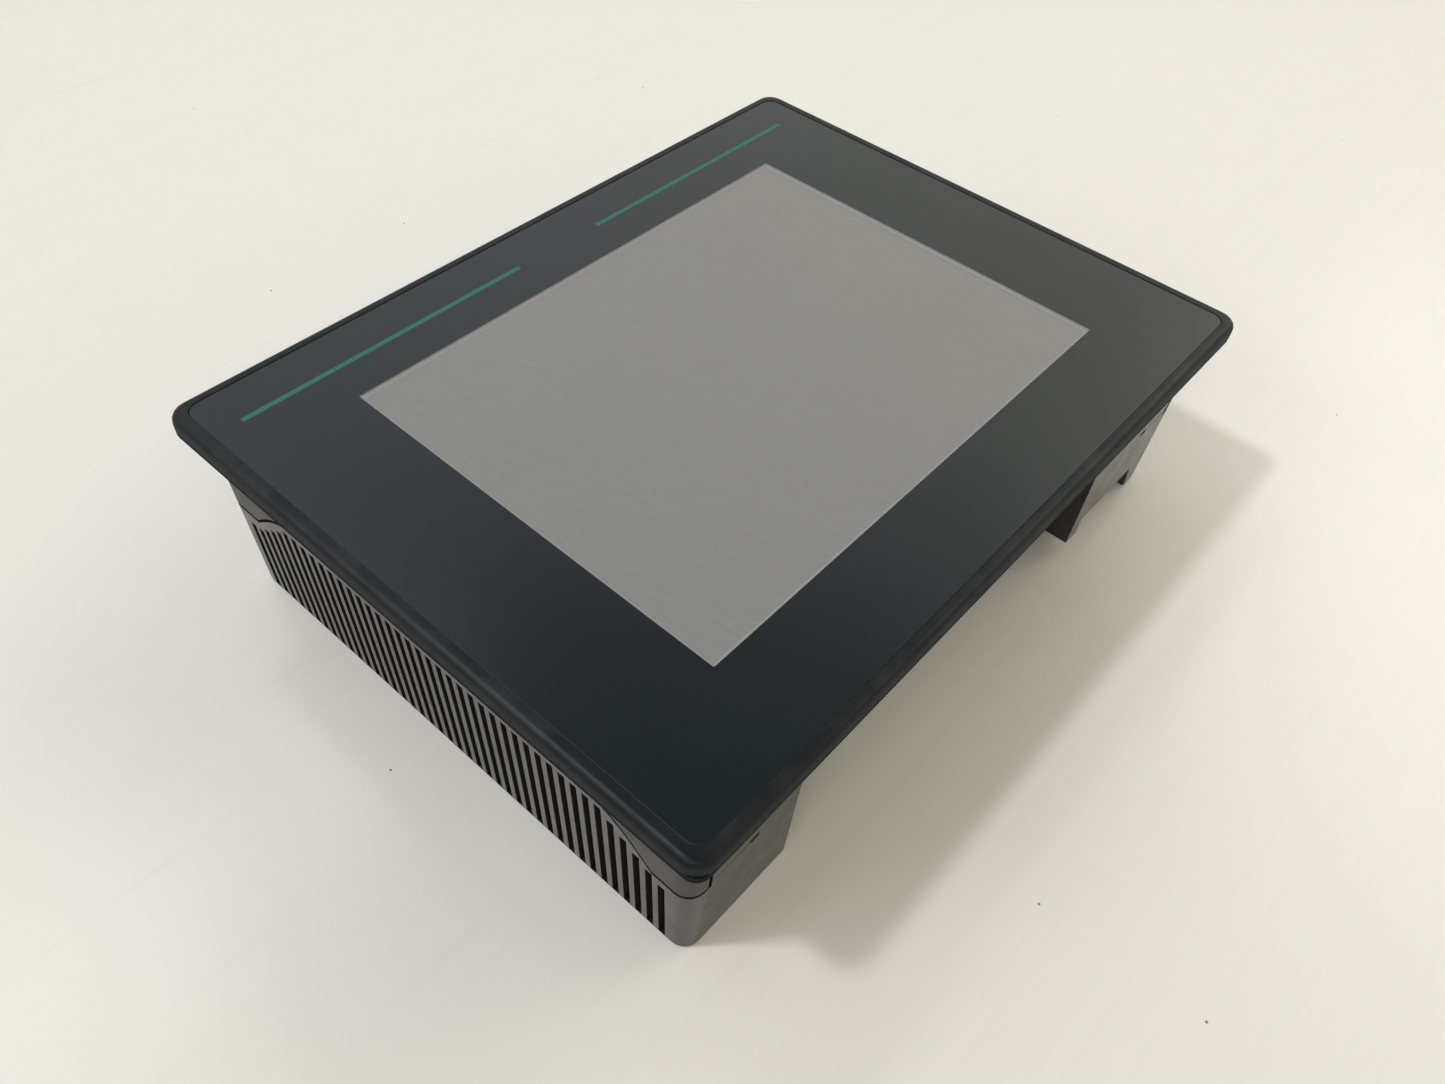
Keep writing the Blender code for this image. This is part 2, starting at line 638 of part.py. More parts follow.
def make_mode_switch():
    """Slide switch behind the wall, with the lever that reaches through it."""
    body = box((-6.5, -60.5, PART_Z), (6.5, -51.0, PART_Z + 8.0))
    body = cut(body, box((-3.5, -62.0, 26.5), (3.5, -53.5, 30.5)))
    add_object("mode_switch_body", body, STEEL)
    lever = box((-3.0, -66.8, 27.0), (0.0, -54.0, 30.0))
    bmesh.ops.bevel(lever, geom=lever.edges[:], offset=0.3, segments=1, affect="EDGES")
    add_object("mode_switch_lever", lever, BUTTON_GREY, origin=(-1.5, -60.0, 28.5))


def make_reset_switch():
    """Push switch behind the wall, with its round button."""
    body = box((RESET_X - 3.5, -60.5, PART_Z), (RESET_X + 3.5, -53.0, PART_Z + 7.0))
    body = cut(body, rod_y(RESET_X, RESET_Z, 2.2, -62.0, -55.4, steps=16))
    add_object("reset_switch_body", body, CHIP_BLACK)
    profile = [(1.5, -65.8), (1.8, -65.4), (1.8, -57.0)]
    sections = [(circle_outline((RESET_X, RESET_Z), radius), y) for radius, y in profile]
    add_object("reset_button", along_y(loft(sections)), BUTTON_GREY, origin=(RESET_X, -60.0, RESET_Z))


def make_card_reader():
    """Memory card in its socket, with the eject button beside it."""
    half = CARD[0] / 2
    inner_y = CARD_OUTER_Y + CARD[1]
    top = CARD_Z + CARD[2]
    middle = CARD_Z + CARD[2] / 2
    socket = box((CARD_X - half - 3.1, -60.5, PART_Z), (EJECT_X + 4.0, -24.0, PART_Z + 6.8))
    room = 0.4
    tunnel = box(
        (CARD_X - half - room, -62.0, CARD_Z - room),
        (CARD_X + half + room, inner_y + room, top + room),
    )
    channel = box((EJECT_X - 2.2, -62.0, CARD_Z - room), (EJECT_X + 2.2, -37.0, top + room))
    add_object("card_socket", cut(socket, tunnel, channel), CHIP_BLACK)
    card = box((CARD_X - half, CARD_OUTER_Y, CARD_Z), (CARD_X + half, inner_y, top))
    grip = box(
        (CARD_X - half + 4.0, CARD_OUTER_Y - 1.0, CARD_Z - 1.0),
        (CARD_X + half - 4.0, CARD_OUTER_Y + 1.2, CARD_Z + 0.6),
    )
    add_object("memory_card", cut(card, grip), CHIP_BLACK, origin=(CARD_X, CARD_OUTER_Y, middle))
    button = box((EJECT_X - 1.8, -71.5, CARD_Z), (EJECT_X + 1.8, -44.0, top))
    bmesh.ops.bevel(button, geom=button.edges[:], offset=0.4, segments=1, affect="EDGES")
    add_object("card_eject_button", button, BUTTON_GREY, origin=(EJECT_X, -60.0, middle))


def make_ground_stud():
    """Protective earth stud through the bay wall, with its nut."""
    wall = BAY_BACK_Y
    head = rod_y(GROUND_X, GROUND_Z, 4.4, wall + BAY_WALL + GAP, wall + BAY_WALL + GAP + 3.0, steps=6)
    shank = rod_y(GROUND_X, GROUND_Z, 2.0, wall - 10.0, wall + BAY_WALL + GAP + 1.0, steps=16)
    add_object("ground_stud", join(head, shank), STEEL)
    nut = rod_y(GROUND_X, GROUND_Z, 4.2, wall - GAP - 3.2, wall - GAP, steps=6)
    nut = cut(nut, rod_y(GROUND_X, GROUND_Z, 2.3, wall - 6.0, wall + 1.0, steps=16))
    add_object("ground_nut", nut, STEEL)


# --- rear housing ---


def slot_cutters():
    """Upright slots through the left and right walls, down to just above the rear edge."""
    cutters = []
    for number in range(SLOT_COUNT):
        y = (number - (SLOT_COUNT - 1) / 2) * SLOT_PITCH
        end = 1 if y > 0 else -1
        rise = max(SLOT_RAMP_START_Y[end] - abs(y), 0.0) * SLOT_RAMP_SLOPE
        top = min(SLOT_TOP_Z, SLOT_LOWEST_TOP[end] + rise)
        for side in (1, -1):
            low, high = sorted((side * SLOT_INNER_X, side * 160.0))
            cutters.append(box((low, y - SLOT_WIDTH / 2, SLOT_BOTTOM_Z), (high, y + SLOT_WIDTH / 2, top)))
    return gathered(cutters)


def wall_cutters():
    """Openings in the bay's back wall for the connectors and controls."""
    low = BAY_BACK_Y - 1.0
    high = BAY_BACK_Y + BAY_WALL + 1.0
    half = CARD[0] / 2 + 0.5
    card_z = (CARD_Z - 0.5, CARD_Z + CARD[2] + 0.5)
    return gathered(
        [
            box((-84.0, low, PART_Z - 0.5), (-66.0, high, PART_Z + 12.5)),
            box((-61.5, low, PART_Z - 0.5), (-44.5, high, PART_Z + 14.0)),
            box((SERIAL_X - 9.9, low, SERIAL_Z - 5.7), (SERIAL_X + 9.9, high, SERIAL_Z + 5.7)),
            rod_y(SERIAL_X - 12.5, SERIAL_Z, 1.8, low, high, steps=12),
            rod_y(SERIAL_X + 12.5, SERIAL_Z, 1.8, low, high, steps=12),
            box((-3.6, low, 26.5), (3.6, high, 30.5)),
            rod_y(RESET_X, RESET_Z, 2.2, low, high),
            box((CARD_X - half, low, card_z[0]), (CARD_X + half, high, card_z[1])),
            box((EJECT_X - 2.3, low, card_z[0]), (EJECT_X + 2.3, high, card_z[1])),
            rod_y(GROUND_X, GROUND_Z, 2.3, low, high),
        ]
    )


def clamp_marks():
    """Blind pockets for the panel clamps in the top and bottom walls, with a line to the nearest tongue."""
    marks = []
    half_y = REAR_HALF[1] + CLAMP_POCKET_Z * DRAFT
    for x in (-CLAMP_POCKET_X, CLAMP_POCKET_X):
        for side in (1, -1):
            near, far = sorted((side * (half_y - CLAMP_POCKET[1]), side * (half_y + 2.0)))
            low_z = CLAMP_POCKET_Z - CLAMP_POCKET[2] / 2
            high_z = CLAMP_POCKET_Z + CLAMP_POCKET[2] / 2
            marks.append(box((x - CLAMP_POCKET[0] / 2, near, low_z), (x + CLAMP_POCKET[0] / 2, far, high_z)))
            outer = math.copysign(TONGUE_INNER_X - 2.0, x)
            start = x + math.copysign(CLAMP_POCKET[0] / 2 + 0.5, x)
            left, right = sorted((start, outer))
            near, far = sorted((side * (half_y - SCRIBED_LINE), side * (half_y + 2.0)))
            marks.append(box((left, near, CLAMP_POCKET_Z - 0.2), (right, far, CLAMP_POCKET_Z + 0.2)))
    return gathered(marks)


def bay_space(grown):
    """The connector bay, open to the bottom and the rear, grown on every closed side."""
    low_z = -1.0
    top = BAY_TOP_Z + grown
    left = BAY_X[0] - grown
    right = BAY_X[1] + grown
    lean = BAY_SIDE_DRAFT * (top - low_z)
    outline = [(left, low_z), (right + lean, low_z), (right, top), (left, top)]
    return along_y(extrude(outline, -130.0, BAY_BACK_Y + grown))


def foot_space():
    """What the rear edge of the right block lacks: its inner foot stops short and a notch follows it."""
    low_z = -1.0
    outline = [
        (BAY_X[1] - 1.0, low_z),
        (OUTER_FOOT_LEFT, low_z),
        (NOTCH_RIGHT_TOP, NOTCH_TOP_Z),
        (NOTCH_LEFT_TOP, NOTCH_TOP_Z),
        (INNER_FOOT_RIGHT, INNER_FOOT_Z),
        (BAY_X[1] - 1.0, INNER_FOOT_Z),
    ]
    return along_y(extrude(outline, -130.0, NOTCH_BACK_Y))


def housing_hollow():
    """The room inside the rear housing, clear of the bay's walls and of the solid feet."""
    hollow = body_solid(REAR_PLATE, LIP_HIGH_Z + 5.0, REAR_WALL)
    feet = box(
        (BAY_X[1], -130.0, -1.0),
        (OUTER_FOOT_LEFT + NOTCH_WALL, NOTCH_BACK_Y + NOTCH_WALL, NOTCH_TOP_Z + NOTCH_WALL),
    )
    return cut(hollow, bay_space(BAY_WALL), feet)


def housing_lip():
    """The inner lip that stands up inside the frame's collar."""
    lip = body_solid(LIP_LOW_Z, LIP_HIGH_Z, COLLAR_WALL + GAP)
    lip = cut(lip, body_solid(LIP_LOW_Z - 1.0, LIP_HIGH_Z + 1.0, COLLAR_WALL + GAP + LIP_WALL))
    return cut(lip, bay_space(0.0))


def make_rear_housing():
    """Rear half of the body with its inner lip, bay, notch, bosses, slots and openings."""
    heights = (0.0, REAR_CHAMFER), (REAR_CHAMFER, 0.0), (PARTING_Z + 1.0, 0.0)
    outer = loft([(body_outline(z, offset), z) for z, offset in heights])
    outer = cut(outer, frame_region(PARTING_GROOVE), bay_space(0.0), foot_space())
    housing = join(cut(outer, housing_hollow()), housing_lip())
    seat = HOUSING_SCREW_SEAT_Z
    for x in (-HOUSING_SCREW_X, HOUSING_SCREW_X):
        for y in HOUSING_SCREW_Y:
            housing = join(housing, rod_z(x, y, 6.5, 1.0, HOUSING_BOSS_Z))
            housing = cut(housing, rod_z(x, y, 4.2, -1.0, seat))
            housing = cut(housing, rod_z(x, y, 1.9, seat - 1.0, HOUSING_BOSS_Z + 1.0, steps=12))
    for x in (-BOARD_SCREW_X, BOARD_SCREW_X):
        for y in BOARD_SCREW_Y:
            housing = join(housing, rod_z(x, y, 4.0, 1.0, BOARD_Z - GAP))
            housing = cut(housing, rod_z(x, y, 1.5, BOARD_Z - 13.0, BOARD_Z + 1.0, steps=12))
    label_recess = plate((35.4, 20.4), 2.4, -1.0, 1.1, (0.0, 20.0))
    housing = cut(housing, slot_cutters(), wall_cutters(), clamp_marks(), label_recess)
    add_object("rear_housing", housing, HOUSING_PLASTIC)
    add_object("rating_plate", plate((35.0, 20.0), 2.0, 0.3, 0.8, (0.0, 20.0)), ALUMINIUM)


def make_housing_screws():
    """Four long screws in the deep wells of the rear housing."""
    number = 0
    for x in (-HOUSING_SCREW_X, HOUSING_SCREW_X):
        for y in HOUSING_SCREW_Y:
            number += 1
            head = (HOUSING_SCREW_SEAT_Z - GAP - 3.0, HOUSING_SCREW_SEAT_Z - GAP)
            shank = (head[1] - 0.5, HOUSING_BOSS_Z + 11.0)
            add_object(f"housing_screw_{number}", screw(x, y, 3.6, head, 1.5, shank), STEEL)


# --- internal cables ---


def ribbon(route, width, thickness, across):
    """A flat cable along a route in the plane square to X or Y, thickened to both sides of the route."""
    left = []
    right = []
    for i, here in enumerate(route):
        before = Vector(route[max(i - 1, 0)])
        after = Vector(route[min(i + 1, len(route) - 1)])
        along = (after - before).normalized()
        normal = Vector((-along.y, along.x)) * thickness / 2
        left.append(tuple(Vector(here) + normal))
        right.append(tuple(Vector(here) - normal))
    outline = left + right[::-1]
    limits = (across[1] - width / 2, across[1] + width / 2)
    drawn = extrude(outline, *limits)
    return along_x(drawn) if across[0] == "x" else along_y(drawn)


def smooth_route(points, steps=4):
    """A Catmull-Rom curve through the points of a route."""
    route = []
    for i in range(len(points) - 1):
        p0 = Vector(points[max(i - 1, 0)])
        p1 = Vector(points[i])
        p2 = Vector(points[i + 1])
        p3 = Vector(points[min(i + 2, len(points) - 1)])
        for step in range(steps):
            t = step / steps
            square = (2 * p0 - 5 * p1 + 4 * p2 - p3) * t**2
            cube = (3 * p1 - p0 - 3 * p2 + p3) * t**3
            route.append(tuple(0.5 * (2 * p1 + (p2 - p0) * t + square + cube)))
    return route + [tuple(points[-1])]


def make_cables():
    """Display ribbon, touch tail and lamp cable, each held at both ends."""
    low = PART_Z
    display_route = [(48.0, TRAY_Z[0] - GAP), (48.0, 60.0), (54.0, 50.0), (52.0, 37.0), (54.0, low)]
    add_object("display_ribbon", ribbon(smooth_route(display_route), 20.0, 0.6, ("x", 60.0)), CABLE_GREY)
    tail_route = [(-94.6, 81.9), (-94.8, 73.0), (-94.6, 61.0), (-78.0, 57.0), (-58.0, 54.5), (-53.0, 42.0)]
    tail_route.append((-54.0, low + 8.0))
    add_object("touch_tail", ribbon(smooth_route(tail_route), 16.0, 0.4, ("x", 40.0)), CABLE_GREY)
    lamp_route = [(122.9, 71.7), (123.0, 66.7), (118.0, 61.0), (90.0, 58.0), (61.0, 56.0)]
    add_object("inverter_cable", ribbon(smooth_route(lamp_route), 6.0, 1.2, ("y", 70.0)), CABLE_GREY)


def clear_scene():
    """Remove whatever the open file holds."""
    for old in list(bpy.data.objects):
        bpy.data.objects.remove(old, do_unlink=True)


def main():
    clear_scene()
    make_front_frame()
    make_front_foil()
    make_window_film()
    make_panel_gasket()
    make_display(make_touch_panel())
    make_bracket()
    make_inverter()
    make_main_board()
    make_board_parts()
    make_power_socket()
    make_network_socket()
    make_serial_port()
    make_mode_switch()
    make_reset_switch()
    make_card_reader()
    make_ground_stud()
    make_rear_housing()
    make_housing_screws()
    make_cables()


main()
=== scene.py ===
"""Looks for the operator touch panel: materials, printed lines, window stack, floor, light and camera."""

import json
import math

import bmesh
import bpy
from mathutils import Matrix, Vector


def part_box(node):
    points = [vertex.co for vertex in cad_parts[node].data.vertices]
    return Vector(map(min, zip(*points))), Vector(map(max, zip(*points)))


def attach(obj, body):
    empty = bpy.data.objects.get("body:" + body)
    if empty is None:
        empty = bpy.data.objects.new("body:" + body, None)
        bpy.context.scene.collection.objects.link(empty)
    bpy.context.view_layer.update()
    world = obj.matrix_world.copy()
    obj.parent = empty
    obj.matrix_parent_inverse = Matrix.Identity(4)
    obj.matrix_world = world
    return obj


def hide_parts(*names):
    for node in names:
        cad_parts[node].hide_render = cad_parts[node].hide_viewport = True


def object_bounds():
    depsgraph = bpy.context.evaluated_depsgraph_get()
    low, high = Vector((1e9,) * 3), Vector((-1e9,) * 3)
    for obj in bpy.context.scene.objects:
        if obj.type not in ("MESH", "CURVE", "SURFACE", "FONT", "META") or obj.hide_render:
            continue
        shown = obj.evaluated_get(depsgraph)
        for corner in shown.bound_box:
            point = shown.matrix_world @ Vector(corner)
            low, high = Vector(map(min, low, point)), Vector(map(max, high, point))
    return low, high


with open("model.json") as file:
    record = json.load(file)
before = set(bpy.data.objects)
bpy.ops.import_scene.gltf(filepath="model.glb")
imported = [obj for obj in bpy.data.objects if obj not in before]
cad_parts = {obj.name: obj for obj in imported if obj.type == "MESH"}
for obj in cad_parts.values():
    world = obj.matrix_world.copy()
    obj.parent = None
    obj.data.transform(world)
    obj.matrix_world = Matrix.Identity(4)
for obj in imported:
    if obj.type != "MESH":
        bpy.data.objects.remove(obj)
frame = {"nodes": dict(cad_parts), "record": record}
cad_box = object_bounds()
nodes = frame["nodes"]
MM = 0.001

# Heights of the foil and of the stack seen through its window, in millimetres
FOIL_LOW, FOIL_HIGH = (corner.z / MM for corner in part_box("front_foil"))
WINDOW_HALF = (107.0, 80.25)
PANE_GAP = 0.15
FOAM_HALF = (121.5, 92.5)
SCREEN_HALF = (113.0, 86.5)
SCREEN_THICKNESS = 1.6
LINE_Y = 97.2
LINE_WIDTH = 2.0
LINE_SPANS = {"left": (-140.8, -19.7), "right": (21.2, 137.0)}
FOAM_SHOWN = (0.35, 1.3)  # how far the foam ring reaches into the window at its top and at the screen
SCREEN_DEPTH = 1.15  # from the foil's face down to the screen

# The housing's outer wall: half sizes at its rear edge, corner radius, and growth per unit of height
WALL_HALF = (0.14675, 0.10965)
WALL_RADIUS = 0.0061
WALL_DRAFT = 0.0344
SLOT_ZONE = 0.140  # the cooling slots lie beyond this distance from the middle
SLOT_FOOT = (0.0007, 0.0009)  # the slots begin between these heights
INSIDE_STARTS = (0.00010, 0.00018)  # how far behind the outer wall the painted shade in its joints and slots begins
# Black of the painted shade inside the housing's slots and the frame's joint, where little light reaches
PAINTED_SHADE_BLACK = (0.0012, 0.0012, 0.0010)
FLANGE_UNDERSIDE = 0.0777

WELD_DISTANCE = 0.000002
SHARP_ANGLE = 30.0  # bends below this angle are shaded as round

FLOOR_HALF = 3.0
FLOOR_DROP = 0.0002

CAMERA_PLACE = (-0.25579, -0.19454, 0.34988)
CAMERA_TURN = (41.2437, -3.2462, -48.5921)  # degrees
LENS = 28.73
SENSOR_WIDTH = 36.0

# The room: the light of its walls by the sine of the height, and where it is brighter and warmer
WALL_LIGHT = ((0.0, 0.38), (0.35, 0.66), (0.60, 0.90), (0.70, 0.80), (0.80, 0.08), (1.0, 0.06))
BRIGHT_SIDE = (0.95, -0.14, 0.0)
WARM_SIDE = (0.55, -0.83, 0.0)
SPREAD = 0.5  # how far the light falls or rises between the dark and the bright side


# --- node helpers ---


class Nodes:
    """Short calls for building one procedural material around its Principled shader."""

    def __init__(self, name):
        self.material = bpy.data.materials.new(name)
        self.material.use_nodes = True
        self.tree = self.material.node_tree
        self.shader = self.tree.nodes["Principled BSDF"]
        self.position = self.add("ShaderNodeTexCoord").outputs["Object"]

    def add(self, kind, **settings):
        made = self.tree.nodes.new(kind)
        for key, value in settings.items():
            setattr(made, key, value)
        return made

    def link(self, source, target):
        self.tree.links.new(source, target)

    def stretched(self, scale, turn=(0.0, 0.0, 0.0)):
        mapping = self.add("ShaderNodeMapping")
        mapping.inputs["Scale"].default_value = scale
        mapping.inputs["Rotation"].default_value = turn
        self.link(self.position, mapping.inputs["Vector"])
        return mapping.outputs["Vector"]

    def noise(self, scale, detail=3.0, roughness=0.55, vector=None):
        made = self.add("ShaderNodeTexNoise")
        made.inputs["Scale"].default_value = scale
        made.inputs["Detail"].default_value = detail
        made.inputs["Roughness"].default_value = roughness
        self.link(vector or self.position, made.inputs["Vector"])
        return made.outputs["Fac"]

    def specks(self, scale, size, vector=None):
        """One in small round dots at random places, zero elsewhere."""
        cells = self.add("ShaderNodeTexVoronoi")
        cells.inputs["Scale"].default_value = scale
        self.link(vector or self.position, cells.inputs["Vector"])
        return self.remap(cells.outputs["Distance"], size * 0.5, size, 1.0, 0.0)

    def remap(self, value, from_low, from_high, to_low, to_high):
        made = self.add("ShaderNodeMapRange")
        self.link(value, made.inputs["Value"])
        settings = (("From Min", from_low), ("From Max", from_high), ("To Min", to_low), ("To Max", to_high))
        for key, number in settings:
            made.inputs[key].default_value = number
        return made.outputs["Result"]

    def math(self, operation, first, second=None):
        made = self.add("ShaderNodeMath", operation=operation)
        for socket, value in zip(made.inputs, (first, second)):
            if isinstance(value, (int, float)):
                socket.default_value = value
            elif value is not None:
                self.link(value, socket)
        return made.outputs["Value"]

    def below_wall(self):
        """How far a point lies inside the housing's tapered outer wall, in metres."""
        grow = self.math("MULTIPLY", self.axis("Z"), WALL_DRAFT)
        past = []
        for name, half in zip("XY", WALL_HALF):
            out = self.math("SUBTRACT", self.math("ABSOLUTE", self.axis(name)), grow)
            past.append(self.math("SUBTRACT", out, half - WALL_RADIUS))
        squares = [self.math("POWER", self.math("MAXIMUM", value, 0.0), 2.0) for value in past]
        corner = self.math("SQRT", self.math("ADD", *squares))
        flat = self.math("MINIMUM", self.math("MAXIMUM", *past), 0.0)
        return self.math("SUBTRACT", WALL_RADIUS, self.math("ADD", corner, flat))

    def axis(self, name, source=None):
        split = self.add("ShaderNodeSeparateXYZ")
        self.link(source or self.position, split.inputs["Vector"])
        return split.outputs[name]

    def normal_axis(self, name):
        return self.axis(name, self.add("ShaderNodeNewGeometry").outputs["Normal"])

    def worn_and_lit_edges(self, amount):
        """Above zero along sharp outer edges, broken up by noise: lighter edges that are partly wear and
        partly painted highlight.
        """
        pointiness = self.add("ShaderNodeNewGeometry").outputs["Pointiness"]
        return self.math("MULTIPLY", self.remap(pointiness, 0.56, 0.66, 0.0, amount), self.noise(220.0, 3.0))

    def shade_behind_wall(self):
        """One for what lies behind the housing's outer wall, in its joints and slots, where painted shade is
        laid.
        """
        return self.remap(self.below_wall(), *INSIDE_STARTS, 0.0, 1.0)

    def mix(self, factor, first, second):
        made = self.add("ShaderNodeMix", data_type="RGBA")
        if isinstance(factor, (int, float)):
            made.inputs["Factor"].default_value = factor
        else:
            self.link(factor, made.inputs["Factor"])
        for socket, value in ((made.inputs["A"], first), (made.inputs["B"], second)):
            if isinstance(value, tuple):
                socket.default_value = (*value, 1.0)
            else:
                self.link(value, socket)
        return made.outputs["Result"]

    def colour(self, value):
        self.link(value, self.shader.inputs["Base Color"])

    def rough(self, value):
        self.link(value, self.shader.inputs["Roughness"])

    def bump(self, height, distance, strength=1.0):
        made = self.add("ShaderNodeBump")
        made.inputs["Strength"].default_value = strength
        made.inputs["Distance"].default_value = distance
        self.link(height, made.inputs["Height"])
        self.link(made.outputs["Normal"], self.shader.inputs["Normal"])

    def fixed(self, **settings):
        names = {
            "metallic": "Metallic",
            "specular": "Specular IOR Level",
            "coat": "Coat Weight",
            "coat_roughness": "Coat Roughness",
            "sheen": "Sheen Weight",
            "alpha": "Alpha",
            "ior": "IOR",
        }
        for key, value in settings.items():
            self.shader.inputs[names[key]].default_value = value


def tone(colour, factor):
    """A colour made lighter or darker."""
    return tuple(min(channel * factor, 1.0) for channel in colour)


def moulded_plastic(name, colour, rough, spread=0.12):
    """Moulded plastic: eroded grain, faint cloudy colour and uneven gloss."""
    made = Nodes(name)
    clouds = made.noise(28.0, 4.0)
    made.colour(made.mix(clouds, tone(colour, 1.0 - spread), tone(colour, 1.0 + spread)))
    made.rough(made.remap(made.noise(90.0, 4.0), 0.3, 0.7, rough - 0.05, rough + 0.06))
    made.bump(made.noise(2600.0, 2.0, 0.6), 0.00004)
    return made.material


def rolled_metal(name, colour, rough, direction=(40.0, 900.0, 900.0)):
    """Rolled or plated metal: fine lines along the sheet, cloudy tarnish and uneven gloss."""
    made = Nodes(name)
    lines = made.noise(1.0, 3.0, 0.6, made.stretched(direction))
    clouds = made.noise(35.0, 5.0)
    made.colour(made.mix(clouds, tone(colour, 0.82), tone(colour, 1.08)))
    made.rough(made.remap(lines, 0.3, 0.7, rough - 0.06, rough + 0.10))
    made.bump(lines, 0.00002)
    made.fixed(metallic=1.0)
    return made.material


# --- materials ---


def bezel_plastic():
    """Front frame: dark blue-grey matt bezel above its flange; below it the same plastic in a lighter warm
    grey as painted light on the collar, with painted shade in its joint.
    """
    made = Nodes("bezel_plastic")
    clouds = made.noise(28.0, 4.0)
    bezel = made.mix(clouds, (0.0040, 0.0070, 0.0095), (0.0052, 0.0086, 0.0115))
    lying = made.remap(made.normal_axis("Z"), 0.3, 0.95, 0.0, 0.06)
    dust = made.math("MULTIPLY", lying, made.remap(made.noise(60.0, 6.0), 0.42, 0.75, 0.0, 1.0))
    bezel = made.mix(dust, bezel, (0.30, 0.29, 0.27))
    # The collar is the frame's own dark plastic painted a lighter warm grey: painted light where the collar
    # is lit.
    lit_collar = made.mix(clouds, (0.040, 0.0395, 0.037), (0.049, 0.0485, 0.0455))
    below = made.remap(made.axis("Z"), FLANGE_UNDERSIDE - 0.0002, FLANGE_UNDERSIDE, 1.0, 0.0)
    # The light edge colour is partly wear and partly a painted highlight on the rim's rounding.
    base = made.mix(made.worn_and_lit_edges(0.25), made.mix(below, bezel, lit_collar), (0.12, 0.12, 0.125))
    # Painted shade: black in the joint behind the collar's outer wall, also made matt.
    joint_shade = made.math("MULTIPLY", made.shade_behind_wall(), below)
    made.colour(made.mix(joint_shade, base, PAINTED_SHADE_BLACK))
    upright = made.remap(made.normal_axis("Z"), 0.10, 0.55, 0.22, 0.0)
    side = made.math("MULTIPLY", upright, made.math("SUBTRACT", 1.0, below))
    gloss = made.remap(made.noise(90.0, 4.0), 0.3, 0.7, 0.38, 0.46)
    made.rough(made.math("ADD", gloss, made.math("MAXIMUM", side, made.math("MULTIPLY", joint_shade, 0.5))))
    made.bump(made.noise(2600.0, 2.0, 0.6), 0.00004)
    made.fixed(specular=0.22)
    return made.material


def housing_plastic():
    """Dark grey housing with a fine eroded grain, with painted shade, black and matt, inside its slots and
    joints.
    """
    made = Nodes("housing_plastic")
    clouds = made.noise(28.0, 4.0)
    base = made.mix(clouds, (0.0165, 0.0163, 0.0152), (0.0205, 0.0202, 0.0190))
    base = made.mix(made.worn_and_lit_edges(0.20), base, (0.16, 0.16, 0.16))
    outward = made.math("GREATER_THAN", made.math("ABSOLUTE", made.axis("X")), SLOT_ZONE)
    raised = made.remap(made.axis("Z"), *SLOT_FOOT, 0.0, 1.0)
    # Painted shade: the faces inside the cooling slots are painted black and made matt.
    slot_shade = made.math("MULTIPLY", made.shade_behind_wall(), made.math("MULTIPLY", outward, raised))
    made.colour(made.mix(slot_shade, base, PAINTED_SHADE_BLACK))
    gloss = made.remap(made.noise(90.0, 4.0), 0.3, 0.7, 0.20, 0.31)
    made.rough(made.math("ADD", gloss, made.math("MULTIPLY", slot_shade, 0.65)))
    made.bump(made.noise(2600.0, 2.0, 0.6), 0.00003)
    return made.material


def foil_print():
    """Matt printed foil: fine matt tooth, very faint clouds, a few dust specks, and light cut edges, partly
    their own colour and partly painted light against the shade that falls on them.
    """
    made = Nodes("foil_print")
    colour = (0.0045, 0.0088, 0.0125)
    clouds = made.noise(16.0, 5.0)
    base = made.mix(clouds, tone(colour, 0.90), tone(colour, 1.12))
    where = made.remap(made.noise(24.0, 2.0), 0.60, 0.72, 0.0, 0.5)
    specks = made.math("MULTIPLY", made.specks(190.0, 0.05), where)
    base = made.mix(specks, base, (0.28, 0.28, 0.27))
    # Cut edges painted light grey: partly the foil's own edge colour, partly painted light where the edge
    # lies in shade.
    lit_cut_edge = made.remap(made.normal_axis("Z"), 0.2, 0.6, 1.0, 0.0)
    made.colour(made.mix(lit_cut_edge, base, (0.34, 0.35, 0.35)))
    smears = made.noise(1.0, 2.0, 0.4, made.stretched((7.0, 18.0, 7.0), (0.0, 0.0, 0.6)))
    made.rough(made.remap(smears, 0.1, 0.9, 0.23, 0.31))
    made.bump(made.noise(3200.0, 2.0, 0.6), 0.00001)
    return made.material


def printed_line():
    """Teal-green ink of the two printed lines."""
    made = Nodes("printed_line")
    clouds = made.noise(120.0, 4.0)
    made.colour(made.mix(clouds, (0.008, 0.118, 0.084), (0.012, 0.148, 0.106)))
    made.rough(made.remap(made.noise(300.0, 2.0), 0.3, 0.7, 0.45, 0.55))
    made.bump(made.noise(3200.0, 2.0, 0.6), 0.00002)
    return made.material


def window_haze():
    """Clear film over the screen with a slight anti-glare haze."""
    made = Nodes("window_haze")
    made.colour(made.mix(made.noise(30.0, 3.0), (0.50, 0.50, 0.50), (0.56, 0.56, 0.55)))
    made.rough(made.remap(made.noise(200.0, 4.0), 0.3, 0.7, 0.34, 0.42))
    made.fixed(alpha=0.12)
    return made.material


